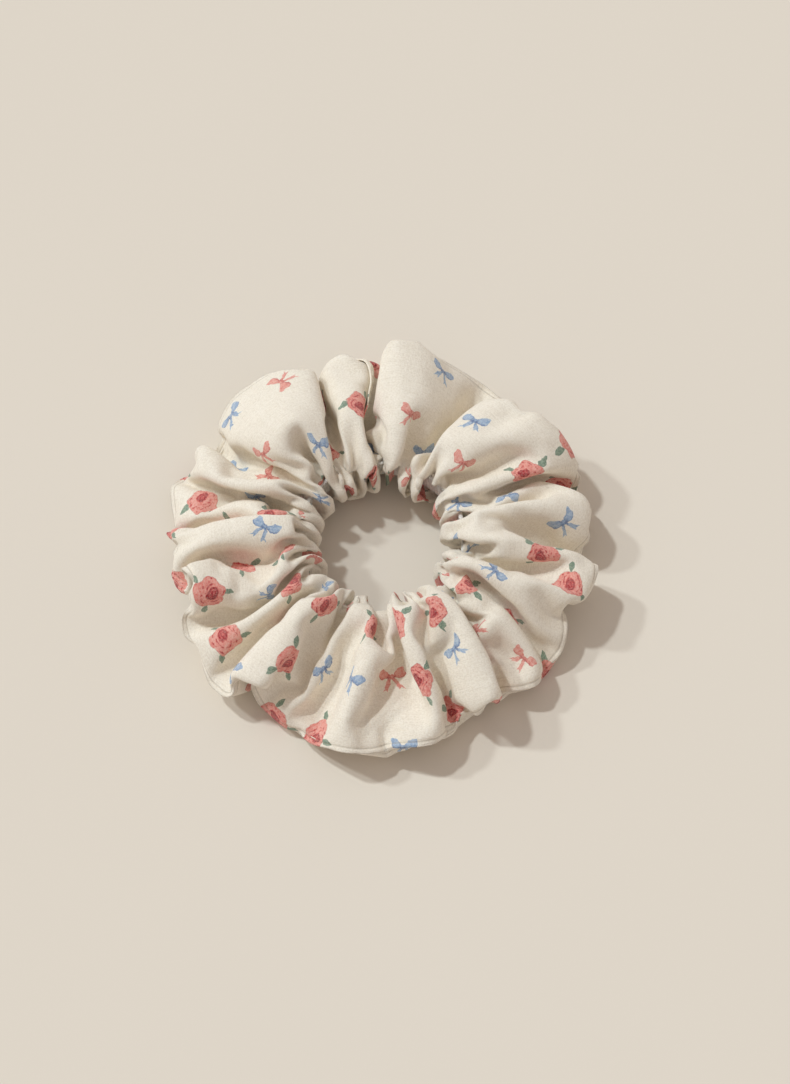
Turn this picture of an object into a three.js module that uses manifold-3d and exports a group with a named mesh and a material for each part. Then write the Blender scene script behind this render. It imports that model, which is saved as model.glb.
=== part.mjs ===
// A fabric hair scrunchie lying flat: a printed cloth tube gathered onto a ring of flat elastic.
// Millimetres. +Z is up, the ring turns round Z, and the underside rests on the plane z = 0.
// The cloth and the elastic are each one piece that stretches. They are parted along the plane
// y = 0 into a near half and a far half, so that the far half can slide away along +Y.
import * as THREE from "three";
import { mergeVertices } from "three/addons/utils/BufferGeometryUtils.js";
import Module from "manifold-3d";

const wasm = await Module();
wasm.setup();

// Overall sizes of the gathered cover.
const OUTER_RADIUS = 56; // to the crest of a gather
const HOLE_RADIUS = 15.5; // the free hole, at the crests
const LOFT = 25; // height of a crest above the table
const GATHERS = 12; // divisible by 4, so that creases lie at the parting plane and the closing seam
const CREASE_DEPTH = 4; // how far a crease at the rim lies inside the crests
const HOLE_CREASE_DEPTH = 1; // the same in the hole, where the elastic draws the cloth level
const CREASE_DROP = 5; // how far a crease lies below the top and above the underside of a crest
const CREST_FULLNESS = 0.6; // below 1 makes round crests and narrow creases
const RIM_TAPER = 0.3; // share of the height lost towards the outer rim
const RESTING_PRESS = 2; // how far the cloth is flattened against the table

// Cloth, seams and thread.
const CLOTH_WALL = 1.6; // folded hem at the closing seam
const SEAM_ALLOWANCE = 5;
const ALLOWANCE_THICKNESS = 1.2; // two layers of cloth pressed together
const TUCK_LENGTH = 8; // one end of the tube goes this far into the other
const HEM_EDGE_TO_STITCH = 1;
const THREAD_DIAMETER = 0.4;
const CLOSING_SEAM_BARE_TURN = 6; // degrees round the section left unsewn at the rim and in the hole

// Elastic.
const ELASTIC_SETBACK = 4.4; // from the bottom of a crease in the hole to the middle of the band
const ELASTIC_WIDTH = 6;
const ELASTIC_THICKNESS = 1.2;
const ELASTIC_LAP = 12; // overlap of its two ends
const LAP_RAMP = 5; // length over which the outer end climbs onto the inner one
const ZIGZAG_WIDTH = 4;
const ZIGZAG_STITCHES = 10;

const CLEARANCE = 0.3; // between pieces that touch
const TUCK_CLEARANCE = 0.5; // round the tucked end

// Facets.
const STEPS_PER_GATHER = 6;
const COVER_CORNERS = 16;
const THREAD_CORNERS = 6;
const CLOSING_SEAM_STEPS = 12;

const MID_RADIUS = (OUTER_RADIUS + HOLE_RADIUS) / 2;
const HALF_WIDTH = (OUTER_RADIUS - HOLE_RADIUS) / 2;
const HALF_HEIGHT = (LOFT + RESTING_PRESS) / 2;
const MID_HEIGHT = LOFT - HALF_HEIGHT;
const THREAD_RADIUS = THREAD_DIAMETER / 2;
const ELASTIC_RADIUS = HOLE_RADIUS + HOLE_CREASE_DEPTH + ELASTIC_SETBACK; // to the middle of the band
const LAP_STEP = ELASTIC_THICKNESS + CLEARANCE;
const RING_STEPS = GATHERS * STEPS_PER_GATHER;
const CLOSING_ANGLE = 90; // degrees round Z from +X, where the tube's two ends meet
const TALL = 4 * LOFT;
const WIDE = 2 * OUTER_RADIUS;

const degreesOfArc = (length, radius) => THREE.MathUtils.radToDeg(length / radius);

// ---- Solids -----------------------------------------------------------------------------------

function solidOf(geometry) {
  const bare = geometry.clone();
  bare.deleteAttribute("normal");
  bare.deleteAttribute("uv");
  const merged = mergeVertices(bare, 1e-4);
  const vertProperties = merged.getAttribute("position").array;
  return new wasm.Manifold(
    new wasm.Mesh({ numProp: 3, vertProperties, triVerts: new Uint32Array(merged.index.array) }),
  );
}

function geometryOf(solid) {
  const { vertProperties, triVerts } = solid.getMesh();
  const geometry = new THREE.BufferGeometry();
  geometry.setAttribute("position", new THREE.BufferAttribute(vertProperties, 3));
  geometry.setIndex(new THREE.BufferAttribute(triVerts, 1));
  geometry.computeVertexNormals();
  return geometry;
}

// A closed ring round Z. sectionAt(theta) gives its section's corners there as [radius, height],
// anticlockwise and always the same number of them.
function ring(sectionAt) {
  const corners = sectionAt(0).length;
  const geometry = new THREE.TorusGeometry(1, 0.5, corners, RING_STEPS);
  const position = geometry.getAttribute("position");
  for (let step = 0; step <= RING_STEPS; step++) {
    const theta = ((step % RING_STEPS) / RING_STEPS) * 2 * Math.PI;
    const section = sectionAt(theta);
    for (let corner = 0; corner <= corners; corner++) {
      const [radius, height] = section[corner % corners];
      const vertex = corner * (RING_STEPS + 1) + step;
      position.setXYZ(vertex, radius * Math.cos(theta), radius * Math.sin(theta), height);
    }
  }
  return solidOf(geometry);
}

// The slice of space between two angles round Z, in degrees.
function wedge(fromDegrees, toDegrees) {
  const [from, to] = [fromDegrees, toDegrees].map(THREE.MathUtils.degToRad);
  const slice = new THREE.Shape();
  slice.moveTo(0, 0);
  slice.lineTo(WIDE * Math.cos(from), WIDE * Math.sin(from));
  slice.absarc(0, 0, WIDE, from, to);
  slice.closePath();
  const geometry = new THREE.ExtrudeGeometry(slice, { depth: TALL, bevelEnabled: false });
  return solidOf(geometry.translate(0, 0, -TALL / 2));
}

// Everything on one side of the parting plane: side is -1 for the near half and +1 for the far one.
function halfSpace(side) {
  const geometry = new THREE.BoxGeometry(2 * WIDE, WIDE, TALL);
  return solidOf(geometry.translate(0, side * (WIDE + CLEARANCE) / 2, 0));
}

const rectangle = (innerRadius, outerRadius, low, high) => [
  [innerRadius, low],
  [outerRadius, low],
  [outerRadius, high],
  [innerRadius, high],
];

function threadSection(radius, height) {
  return Array.from({ length: THREAD_CORNERS }, (_, corner) => {
    const turn = (corner / THREAD_CORNERS) * 2 * Math.PI;
    return [radius + THREAD_RADIUS * Math.cos(turn), height + THREAD_RADIUS * Math.sin(turn)];
  });
}

// A thread along a list of points, with flat ends.
function threadAlong(points) {
  const route = new THREE.CurvePath();
  points.slice(1).forEach((point, i) => route.add(new THREE.LineCurve3(points[i], point)));
  const section = new THREE.Shape();
  section.absarc(0, 0, THREAD_RADIUS, 0, 2 * Math.PI);
  return new THREE.ExtrudeGeometry(section, {
    steps: 2 * (points.length - 1),
    curveSegments: THREAD_CORNERS / 2,
    extrudePath: route,
    bevelEnabled: false,
  });
}

// ---- Cover: the gathered cloth tube ------------------------------------------------------------

// How full the cloth is at an angle: 0 in a crease and 1 on a crest.
const fullness = (theta) => Math.abs(Math.sin((GATHERS * theta) / 2)) ** CREST_FULLNESS;

// A point of the cover's section, inset from its outer surface. turn runs from the rim over the top.
function coverPoint(theta, turn, inset) {
  const slack = 1 - fullness(theta);
  const depth = Math.cos(turn) > 0 ? CREASE_DEPTH : HOLE_CREASE_DEPTH;
  const halfWidth = HALF_WIDTH - depth * slack - inset;
  const halfHeight = HALF_HEIGHT - CREASE_DROP * slack - inset;
  const towardsRim = Math.max(0, Math.cos(turn));
  const height = MID_HEIGHT + halfHeight * Math.sin(turn) * (1 - RIM_TAPER * towardsRim ** 2);
  return [MID_RADIUS + halfWidth * Math.cos(turn), Math.max(height, inset)];
}

function coverRing(inset) {
  return ring((theta) =>
    Array.from({ length: COVER_CORNERS }, (_, corner) =>
      coverPoint(theta, (corner / COVER_CORNERS) * 2 * Math.PI, inset),
    ),
  );
}

// The channel inside the tube that the elastic and its join run in.
const JOIN_DEPTH = ELASTIC_THICKNESS / 2 + CLEARANCE + THREAD_DIAMETER; // from the band's middle
const elasticChannel = ring(() =>
  rectangle(
    ELASTIC_RADIUS - JOIN_DEPTH - CLEARANCE,
    ELASTIC_RADIUS + LAP_STEP + JOIN_DEPTH + CLEARANCE,
    MID_HEIGHT - ELASTIC_WIDTH / 2 - 2 * CLEARANCE,
    MID_HEIGHT + ELASTIC_WIDTH / 2 + 2 * CLEARANCE,
  ),
);

// Radius of the rim's inside face, where the seam allowance starts.
const rimInside = (theta) => coverPoint(theta, 0, CLOTH_WALL)[0];

// The pocket round the seam allowance and its stitches, inside the rim.
const ALLOWANCE_TO_POCKET = CLEARANCE + THREAD_DIAMETER + CLEARANCE;
const POCKET_HALF_HEIGHT = ALLOWANCE_THICKNESS / 2 + ALLOWANCE_TO_POCKET;
const seamPocket = ring((theta) =>
  rectangle(
    rimInside(theta) - SEAM_ALLOWANCE - CLEARANCE,
    rimInside(theta),
    MID_HEIGHT - POCKET_HALF_HEIGHT,
    MID_HEIGHT + POCKET_HALF_HEIGHT,
  ),
).subtract(
  ring((theta) =>
    rectangle(
      rimInside(theta) - SEAM_ALLOWANCE,
      rimInside(theta) + CLOTH_WALL / 2,
      MID_HEIGHT - ALLOWANCE_THICKNESS / 2,
      MID_HEIGHT + ALLOWANCE_THICKNESS / 2,
    ),
  ),
);

const TUCK_ANGLE = degreesOfArc(TUCK_LENGTH, MID_RADIUS);
const SHOULDER_ANGLE = degreesOfArc(CLOTH_WALL, MID_RADIUS); // where the tucked end joins the tube
const GAP_ANGLE = degreesOfArc(CLEARANCE, HOLE_RADIUS);

const nearSide = halfSpace(-1);
const farSide = halfSpace(1);
const outerEndArc = farSide.intersect(wedge(CLOSING_ANGLE, 180));
const innerEndArc = farSide.intersect(wedge(0, CLOSING_ANGLE - GAP_ANGLE));
const socketArc = wedge(CLOSING_ANGLE - GAP_ANGLE, CLOSING_ANGLE + TUCK_ANGLE + GAP_ANGLE);
const tuckArc = wedge(CLOSING_ANGLE - GAP_ANGLE - SHOULDER_ANGLE, CLOSING_ANGLE + TUCK_ANGLE);

const pocketAwayFromTuck = seamPocket.subtract(
  wedge(CLOSING_ANGLE - 2 * SHOULDER_ANGLE, CLOSING_ANGLE + TUCK_ANGLE + 2 * SHOULDER_ANGLE),
);
const tube = coverRing(0).subtract(elasticChannel).subtract(pocketAwayFromTuck);
const tuckedEnd = coverRing(CLOTH_WALL + TUCK_CLEARANCE).subtract(elasticChannel).intersect(tuckArc);

const coverNear = tube.intersect(nearSide);
const coverFarLeft = tube.intersect(outerEndArc).subtract(coverRing(CLOTH_WALL).intersect(socketArc));
const coverFarRight = tube.intersect(innerEndArc).add(tuckedEnd);

// ---- Rim seam: needle thread above the allowance, bobbin thread below it -------------------------

const RIM_STITCH_INSET = SEAM_ALLOWANCE / 2;
const THREAD_OFF_ALLOWANCE = ALLOWANCE_THICKNESS / 2 + CLEARANCE + THREAD_RADIUS;

function rimSeamThread(side) {
  return ring((theta) =>
    threadSection(rimInside(theta) - RIM_STITCH_INSET, MID_HEIGHT + side * THREAD_OFF_ALLOWANCE),
  );
}

const outerEndSeamArc = farSide.intersect(
  wedge(CLOSING_ANGLE + TUCK_ANGLE + 2 * SHOULDER_ANGLE + GAP_ANGLE, 180),
);
const innerEndSeamArc = farSide.intersect(wedge(0, CLOSING_ANGLE - 2 * SHOULDER_ANGLE - GAP_ANGLE));

// ---- Elastic: one flat band whose outer end lies on its inner end --------------------------------

const lapHalfAngle = degreesOfArc(ELASTIC_LAP / 2, ELASTIC_RADIUS);
const rampAngle = degreesOfArc(LAP_RAMP, ELASTIC_RADIUS);

function band(radiusAt) {
  return ring((theta) =>
    rectangle(
      radiusAt(theta) - ELASTIC_THICKNESS / 2,
      radiusAt(theta) + ELASTIC_THICKNESS / 2,
      MID_HEIGHT - ELASTIC_WIDTH / 2,
      MID_HEIGHT + ELASTIC_WIDTH / 2,
    ),
  );
}

const levelBand = band(() => ELASTIC_RADIUS);
const climbingBand = band((theta) => {
  const pastLap = THREE.MathUtils.radToDeg(theta) - CLOSING_ANGLE - lapHalfAngle;
  return ELASTIC_RADIUS + LAP_STEP * (1 - THREE.MathUtils.smoothstep(pastLap, 0, rampAngle));
});
const elasticNear = levelBand.intersect(nearSide);
const elasticFarLeft = climbingBand.intersect(
  farSide.intersect(wedge(CLOSING_ANGLE - lapHalfAngle, 180)),
);
const elasticFarRight = levelBand.intersect(
  farSide.intersect(wedge(0, CLOSING_ANGLE + lapHalfAngle - rampAngle / 2)),
);

// A zigzag over the lap, at a radius.
function zigzagThread(radius) {
  const span = 2 * (lapHalfAngle - rampAngle / 2);
  const points = Array.from({ length: ZIGZAG_STITCHES + 1 }, (_, i) => {
    const angle = CLOSING_ANGLE + span * (i / ZIGZAG_STITCHES - 0.5);
    const theta = THREE.MathUtils.degToRad(angle);
    const height = MID_HEIGHT + (i % 2 ? 0.5 : -0.5) * ZIGZAG_WIDTH;
    return new THREE.Vector3(radius * Math.cos(theta), radius * Math.sin(theta), height);
  });
  return threadAlong(points);
}

const THREAD_OFF_BAND = ELASTIC_THICKNESS / 2 + CLEARANCE + THREAD_RADIUS;

// ---- Closing seam: sewn flat through the hem, needle thread on top and bobbin thread below ---------

// A line of stitches lying on the cover at the seam, between two turns in degrees.
function closingSeamThread(fromTurn, toTurn) {
  const angle = CLOSING_ANGLE + degreesOfArc(HEM_EDGE_TO_STITCH, MID_RADIUS);
  const theta = THREE.MathUtils.degToRad(angle);
  const points = Array.from({ length: CLOSING_SEAM_STEPS + 1 }, (_, i) => {
    const turn = THREE.MathUtils.lerp(fromTurn, toTurn, i / CLOSING_SEAM_STEPS);
    const [radius, height] = coverPoint(
      theta,
      THREE.MathUtils.degToRad(turn),
      -CLEARANCE - THREAD_RADIUS,
    );
    return new THREE.Vector3(radius * Math.cos(theta), radius * Math.sin(theta), height);
  });
  return threadAlong(points);
}

// ---- The assembly --------------------------------------------------------------------------------

const cloth = { color: 0xe9e2d3, roughness: 0.9, metalness: 0 };
const elastic = { color: 0xf4f1ea, roughness: 0.75, metalness: 0 };
const thread = { color: 0xf1ebdd, roughness: 0.6, metalness: 0 };

const scrunchie = new THREE.Group();

function place(name, shape, finish) {
  const geometry = shape.isBufferGeometry ? shape : geometryOf(shape);
  const mesh = new THREE.Mesh(geometry, new THREE.MeshStandardMaterial(finish));
  mesh.name = name;
  scrunchie.add(mesh);
}

place("cover_near", coverNear, cloth);
place("cover_far_left", coverFarLeft, cloth);
place("cover_far_right", coverFarRight, cloth);

place("elastic_near", elasticNear, elastic);
place("elastic_far_left", elasticFarLeft, elastic);
place("elastic_far_right", elasticFarRight, elastic);

const seamSides = [
  { kind: "needle", side: 1, joinRadius: ELASTIC_RADIUS + LAP_STEP + THREAD_OFF_BAND },
  { kind: "bobbin", side: -1, joinRadius: ELASTIC_RADIUS - THREAD_OFF_BAND },
];
for (const { kind, side, joinRadius } of seamSides) {
  const rimThread = rimSeamThread(side);
  place(`rim_seam_${kind}_thread_near`, rimThread.intersect(nearSide), thread);
  place(`rim_seam_${kind}_thread_far_left`, rimThread.intersect(outerEndSeamArc), thread);
  place(`rim_seam_${kind}_thread_far_right`, rimThread.intersect(innerEndSeamArc), thread);
  place(`elastic_join_${kind}_thread`, zigzagThread(joinRadius), thread);
  const bare = CLOSING_SEAM_BARE_TURN;
  const closing = closingSeamThread(side * bare, side * (180 - bare));
  place(`closing_seam_${kind}_thread`, closing, thread);
}

export default scrunchie;
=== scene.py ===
"""A printed cotton scrunchie: the cloth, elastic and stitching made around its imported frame."""
import math

import bpy
import numpy as np
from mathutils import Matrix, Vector
from mathutils.bvhtree import BVHTree


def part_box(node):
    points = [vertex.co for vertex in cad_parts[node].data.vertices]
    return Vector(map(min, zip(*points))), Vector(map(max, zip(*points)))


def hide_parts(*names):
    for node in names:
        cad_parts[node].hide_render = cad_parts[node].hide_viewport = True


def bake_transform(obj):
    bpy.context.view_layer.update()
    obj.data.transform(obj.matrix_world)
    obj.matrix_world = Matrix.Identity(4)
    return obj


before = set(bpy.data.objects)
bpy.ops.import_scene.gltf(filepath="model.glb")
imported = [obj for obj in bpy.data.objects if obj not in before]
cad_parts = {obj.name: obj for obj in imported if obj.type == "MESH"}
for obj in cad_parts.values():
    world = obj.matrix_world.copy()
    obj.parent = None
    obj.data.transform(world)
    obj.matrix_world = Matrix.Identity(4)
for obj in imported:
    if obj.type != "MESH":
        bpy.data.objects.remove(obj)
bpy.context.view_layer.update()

MM = 0.001

# ---- Sizes, in metres -----------------------------------------------------------------------------

# Cloth tube, before it is gathered.
STRIP_LENGTH = 0.560
TUBE_AROUND = 0.098
CLOTH_THICKNESS = 0.35 * MM
HEM_OVERLAP = 5 * MM  # the tube's outer end over its inner end, at the closing seam
HEM_LIFT = 0.5 * MM
RIM_STITCH = 1.3 * MM  # from the pressed edge to the line sewn beside it
RIM_GROOVE = 0.22 * MM
STEADY_ALLOWANCE = 5.5 * MM  # the seam allowance stiffens the cloth this far from the rim

# Elastic, which the frame places.
ELASTIC_THICKNESS = 1.2 * MM
ELASTIC_LAP = 12 * MM
LAP_RAMP = 5 * MM
LAP_GAP = 0.3 * MM
ELASTIC_CORDS = 6  # rubber cords side by side in the braid
CORD_RELIEF = 0.18 * MM

THREAD_RADIUS = 0.13 * MM
STITCH_LENGTH = 2.2 * MM
STITCH_GAP = 0.5 * MM

CLOSING_ANGLE = math.radians(90)

# Rounded to 0.01 mm, so that the simulation starts from the same numbers at each run.
ELASTIC_LOW, ELASTIC_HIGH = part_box("elastic_near")
ELASTIC_RADIUS = round(ELASTIC_HIGH.x - ELASTIC_THICKNESS / 2, 5)
ELASTIC_LEVEL = round((ELASTIC_LOW.z + ELASTIC_HIGH.z) / 2, 5)
ELASTIC_WIDTH = round(ELASTIC_HIGH.z - ELASTIC_LOW.z, 5)

# Creases leave the hole at these angles, in degrees round it from +X. Beside each is the share of
# the cloth that lies between it and the next one: wide lobes have more.
CREASES = [
    (2, 1.15), (22, 0.55), (34, 1.4), (54, 0.55), (64, 1.75), (93, 0.5), (102, 0.5), (112, 0.5),
    (121, 1.6), (142, 0.95), (158, 1.1), (174, 0.9), (190, 0.9), (205, 1.0), (222, 0.9),
    (240, 0.8), (252, 1.35), (279, 0.75), (292, 0.7), (308, 1.5), (332, 0.7), (347, 1.1),
]
CLOSING_CREASE = 5  # the crease that the closing seam lies in

# ---- Camera, floor and light ----------------------------------------------------------------------

CAMERA_ELEVATION = math.radians(65)
CAMERA_DISTANCE = 0.80
FRAME_WIDTH = 0.1985  # what the camera sees across, at the scrunchie
AIM = Vector((3.6 * MM, 1.2 * MM, 9 * MM))
SENSOR_WIDTH = 36.0


def set_camera():
    data = bpy.data.cameras.new("camera")
    data.sensor_fit = "HORIZONTAL"
    data.sensor_width = SENSOR_WIDTH
    data.lens = SENSOR_WIDTH * CAMERA_DISTANCE / FRAME_WIDTH
    camera = bpy.data.objects.new("camera", data)
    bpy.context.scene.collection.objects.link(camera)
    back = Vector((0, -math.cos(CAMERA_ELEVATION), math.sin(CAMERA_ELEVATION)))
    camera.location = AIM + CAMERA_DISTANCE * back
    camera.rotation_euler = back.to_track_quat("Z", "Y").to_euler()
    bpy.context.scene.camera = camera
    return back


def set_floor():
    half = 3.0
    corners = [(-half, -half, 0), (half, -half, 0), (half, half, 0), (-half, half, 0)]
    floor = mesh_piece("floor", corners, [(0, 1, 2, 3)])
    floor.data.materials.append(floor_paper())


def set_sun(name, azimuth, elevation, energy, softness, colour):
    data = bpy.data.lights.new(name, "SUN")
    data.energy = energy
    data.angle = math.radians(softness)
    data.color = colour
    sun = bpy.data.objects.new(name, data)
    bpy.context.scene.collection.objects.link(sun)
    azimuth, elevation = math.radians(azimuth), math.radians(elevation)
    flat = math.cos(elevation)
    towards = Vector((flat * math.cos(azimuth), flat * math.sin(azimuth), math.sin(elevation)))
    sun.rotation_euler = towards.to_track_quat("Z", "Y").to_euler()


def set_lights():
    """A key light and a weaker, lower one from the upper left, and a soft fill from all round."""
    cool = (0.88, 0.96, 1.0)
    set_sun("key", azimuth=148, elevation=58, energy=1.27, softness=3.5, colour=cool)
    set_sun("second", azimuth=158, elevation=44, energy=0.82, softness=4, colour=cool)
    world = bpy.data.worlds.new("fill")
    world.use_nodes = True
    sky = world.node_tree.nodes["Background"]
    sky.inputs["Color"].default_value = (1.0, 0.90, 0.85, 1)
    sky.inputs["Strength"].default_value = 0.52
    bpy.context.scene.world = world
    bpy.context.scene.view_settings.view_transform = "Standard"


# ---- Meshes ---------------------------------------------------------------------------------------


def mesh_piece(name, points, faces, smooth=True):
    mesh = bpy.data.meshes.new(name)
    mesh.from_pydata([tuple(p) for p in points], [], [tuple(f) for f in faces])
    mesh.polygons.foreach_set("use_smooth", [smooth] * len(mesh.polygons))
    piece = bpy.data.objects.new(name, mesh)
    bpy.context.scene.collection.objects.link(piece)
    return piece


def grid_faces(rows, columns, rows_close, columns_close):
    """Quads between the rows and columns of a grid of points numbered row by row."""
    number = np.arange(rows * columns).reshape(rows, columns)
    if rows_close:
        number = np.vstack([number, number[:1]])
    if columns_close:
        number = np.hstack([number, number[:, :1]])
    corners = [number[:-1, :-1], number[1:, :-1], number[1:, 1:], number[:-1, 1:]]
    return np.stack(corners, -1).reshape(-1, 4)


def unit(vectors):
    return vectors / np.maximum(np.linalg.norm(vectors, axis=-1, keepdims=True), 1e-12)


def tube_along(path, radius, sides=6):
    """Points and faces of a closed tube along a path, its ends drawn in to a point."""
    path = np.asarray(path, float)
    ahead = unit(np.gradient(path, axis=0))
    across = unit(np.cross(ahead, np.array([0.31, 0.17, 0.93])))
    up = np.cross(across, ahead)
    turn = np.arange(sides) / sides * 2 * math.pi
    width = np.full(len(path), radius)
    width[[0, -1]] *= 0.35
    ring = across[:, None] * np.cos(turn)[:, None] + up[:, None] * np.sin(turn)[:, None]
    points = (path[:, None] + ring * width[:, None, None]).reshape(-1, 3)
    faces = [list(f) for f in grid_faces(len(path), sides, False, True)]
    faces.append(list(range(sides)))
    faces.append(list(range(len(points) - 1, len(points) - sides - 1, -1)))
    return points, faces


def join_tubes(name, tubes):
    points, faces, count = [], [], 0
    for tube_points, tube_faces in tubes:
        points.extend(tube_points)
        faces.extend([[i + count for i in face] for face in tube_faces])
        count += len(tube_points)
    return mesh_piece(name, points, faces)


# ---- Cover: cloth gathered onto the elastic by simulation -----------------------------------------

SIM_SCALE = 10.0  # the cloth is simulated ten times full size, where the solver is steadier
ROWS, COLUMNS = 240, 38  # points along the strip and round the tube
PULL_FRAMES = 36
REST_FRAMES = 30
# At a crease the cloth's points on the hole side are held round the elastic at these distances from
# the hole's axis and above the elastic's middle, by their steps round the tube.
CREASE_HOLD = {
    -3: (19.6 * MM, 4.9 * MM),
    -2: (17.3 * MM, 4.4 * MM),
    -1: (15.3 * MM, 3.0 * MM),
    0: (14.3 * MM, 0.7 * MM),
    1: (15.0 * MM, -1.8 * MM),
    2: (16.8 * MM, -3.7 * MM),
    3: (19.2 * MM, -4.6 * MM),
}
CREASE_LIFT = 0.5 * MM
CREASE_SHIFT = 0.8 * MM
BODY_STIFFNESS = 0.4  # of the allowance's
SEED = 14


def crease_rows():
    """The row of points that each crease is drawn in at, and its angle round the hole."""
    angles = np.radians([angle for angle, _ in CREASES])
    shares = np.array([share for _, share in CREASES])
    along = np.concatenate([[0], np.cumsum(shares)[:-1]]) / shares.sum()
    rows = np.round(along * ROWS).astype(int)
    return rows, angles


def resting_section():
    """The tube's section before gathering: an upright oval, from the rim (+x) over the top."""
    turn = np.linspace(0, 2 * math.pi, 4001)
    x, z = 8 * np.cos(turn), 21 * np.sin(turn)
    along = np.concatenate([[0], np.cumsum(np.hypot(np.diff(x), np.diff(z)))])
    wanted = np.arange(COLUMNS) / COLUMNS * along[-1]
    scale = TUBE_AROUND / along[-1]
    return np.interp(wanted, along, x) * scale, np.interp(wanted, along, z) * scale


def tube_before_gathering():
    """Points of the sewn tube held open in a wide ring, as long round as the strip is."""
    x, z = resting_section()
    first_angle = math.radians(CREASES[0][0])
    turn = first_angle + np.arange(ROWS) / ROWS * 2 * math.pi
    radius = STRIP_LENGTH / (2 * math.pi) + x
    lift = z.max() + 4 * MM
    points = np.stack(
        [
            np.cos(turn)[:, None] * radius,
            np.sin(turn)[:, None] * radius,
            np.broadcast_to(z + lift, (ROWS, COLUMNS)),
        ],
        -1,
    )
    rough = np.random.default_rng(SEED)
    return points + rough.normal(0, 0.15 * MM, points.shape), rough


def gathered_points(rough):
    """Where the cloth is held round the elastic at each crease: {point number: place}."""
    rows, angles = crease_rows()
    lifts = rough.uniform(-CREASE_LIFT, CREASE_LIFT, len(rows))
    shifts = rough.uniform(-CREASE_SHIFT, CREASE_SHIFT, len(rows))
    places = {}
    for row, angle, lift, shift in zip(rows, angles, lifts, shifts):
        for step, (radius, height) in CREASE_HOLD.items():
            number = int(row) * COLUMNS + COLUMNS // 2 + step
            radius = radius + shift * (abs(step) < 2)
            level = ELASTIC_LEVEL + height + lift
            places[number] = (radius * math.cos(angle), radius * math.sin(angle), level)
    return places


def cloth_settings(piece):
    cloth = piece.modifiers.new("gather", "CLOTH")
    fabric = cloth.settings
    fabric.quality = 6
    fabric.mass = 0.15
    fabric.air_damping = 1.0
    fabric.tension_stiffness = 40
    fabric.compression_stiffness = 20
    fabric.shear_stiffness = 15
    fabric.bending_stiffness = 1
    fabric.bending_stiffness_max = 16
    fabric.vertex_group_bending = "stiffness"
    fabric.tension_damping = 10
    fabric.compression_damping = 10
    fabric.shear_damping = 10
    fabric.bending_damping = 1
    fabric.vertex_group_mass = "held"
    fabric.pin_stiffness = 1
    fabric.use_pressure = True
    for at, pressure in ((PULL_FRAMES, 1.5), (PULL_FRAMES + 8, 0.5)):
        fabric.uniform_pressure_force = pressure
        fabric.keyframe_insert("uniform_pressure_force", frame=at)
    touch = cloth.collision_settings
    touch.use_self_collision = True
    touch.self_distance_min = 0.8 * MM * SIM_SCALE
    touch.self_friction = 5
    touch.distance_min = 0.5 * MM * SIM_SCALE
    touch.collision_quality = 3
    cloth.point_cache.frame_start = 1
    cloth.point_cache.frame_end = PULL_FRAMES + REST_FRAMES + 1


def hard_surface(name, points, faces, thickness, friction):
    """Something that the cloth lies on or against while it is simulated."""
    surface = mesh_piece(name, np.array(points) * SIM_SCALE, faces)
    surface.modifiers.new("solid", "COLLISION")
    surface.collision.thickness_outer = thickness * SIM_SCALE
    surface.collision.cloth_friction = friction
    return surface


def drawn_elastic(tube_level):
    """The elastic as it draws in with the cloth, from the wide ring to its place."""
    turn = np.arange(72) / 72 * 2 * math.pi
    half_width, half_thickness = ELASTIC_WIDTH / 2, ELASTIC_THICKNESS / 2
    section = [(-1, -1), (1, -1), (1, 1), (-1, 1)]
    points = [
        ((ELASTIC_RADIUS + a * half_thickness) * math.cos(t),
         (ELASTIC_RADIUS + a * half_thickness) * math.sin(t), b * half_width)
        for t in turn for a, b in section
    ]
    faces = grid_faces(len(turn), len(section), True, True)
    elastic = hard_surface("drawn_elastic", points, faces, 0.4 * MM, 10)
    wide = STRIP_LENGTH / (2 * math.pi) / ELASTIC_RADIUS
    for at, scale, level in ((1, wide, tube_level), (PULL_FRAMES, 1.0, ELASTIC_LEVEL)):
        elastic.scale = (scale, scale, 1)
        elastic.location.z = level * SIM_SCALE
        elastic.keyframe_insert("scale", frame=at)
        elastic.keyframe_insert("location", frame=at)
    ease(elastic)
    return elastic


def ease(animated):
    for curve in animated.animation_data.action.fcurves:
        for key in curve.keyframe_points:
            key.interpolation = "SINE"


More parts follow.
